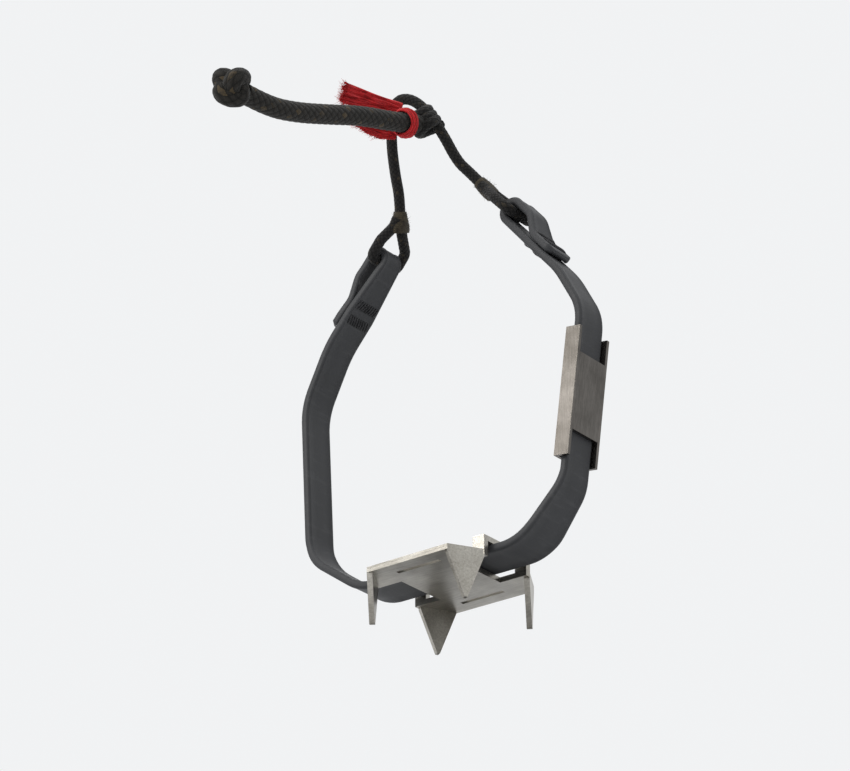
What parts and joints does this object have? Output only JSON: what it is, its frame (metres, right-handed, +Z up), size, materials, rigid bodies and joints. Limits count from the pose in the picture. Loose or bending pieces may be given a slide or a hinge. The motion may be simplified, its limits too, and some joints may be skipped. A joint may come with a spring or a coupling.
{
  "type": "instep microspikes",
  "caption": "Spiked steel plate on a rubber strap with a slide buckle, an instep cord, a pull cord and a red tab, worn under a shoe's arch.",
  "frame": {"origin": "centre of the plate's ground side", "axes": "+X to the outer side of the foot, where the buckle is; -Y to the toe; +Z up to the foot"},
  "size_m": [0.0964, 0.1157, 0.1536],
  "materials": {
    "steel": "satin",
    "buckle_steel": "satin",
    "strap_rubber": "matte",
    "cord_black": "matte",
    "whipping_thread": "matte",
    "tab_red": "matte"
  },
  "bodies": {
    "plate": {"spike_plate": "steel"},
    "sole": {"sole_strap": "strap_rubber"},
    "lateral": {"lateral_strap": "strap_rubber"},
    "medial": {"medial_strap": "strap_rubber"},
    "slide_buckle": {"buckle": "buckle_steel"},
    "instep": {"instep_cord": "cord_black", "lateral_bail": "cord_black", "medial_bail": "cord_black", "lateral_whipping": "whipping_thread", "medial_whipping": "whipping_thread", "cord_hitch": "cord_black", "pull_cord": "cord_black", "stopper_knot": "cord_black"},
    "tab": {"tab_wrap": "tab_red", "tab_long_tail": "tab_red", "tab_short_tail": "tab_red"}
  },
  "joints": [
    {"name": "plate_slide", "type": "slide", "parent": "plate", "child": "sole", "axis": [1, 0, 0], "range_m": [-0.0024, 0.0024]},
    {"name": "lateral_fold", "type": "hinge", "parent": "sole", "child": "lateral", "pos_m": [0.0235, 0, 0.00299], "axis": [0, 1, 0], "range_deg": [-28, 28]},
    {"name": "medial_fold", "type": "hinge", "parent": "sole", "child": "medial", "pos_m": [-0.0235, 0, 0.00299], "axis": [0, 1, 0], "range_deg": [-28, 28]},
    {"name": "instep_link", "type": "hinge", "parent": "lateral", "child": "instep", "pos_m": [0.0235, 0, 0.102], "axis": [0, 1, 0], "range_deg": [-28, 28]},
    {"name": "buckle_slide", "type": "slide", "parent": "lateral", "child": "slide_buckle", "axis": [0.1362, 0, 0.9907], "range_m": [-0.002, 0.002]},
    {"name": "tab_turn", "type": "hinge", "parent": "instep", "child": "tab", "pos_m": [0.0026, -0.02321, 0.12766], "axis": [-0.0793, -0.9417, -0.3271], "range_deg": [-30, 30]}
  ],
  "couplings": [
    {"joint": "medial_fold", "follows": "lateral_fold", "ratio": 1},
    {"joint": "instep_link", "follows": "lateral_fold", "ratio": -1}
  ]
}
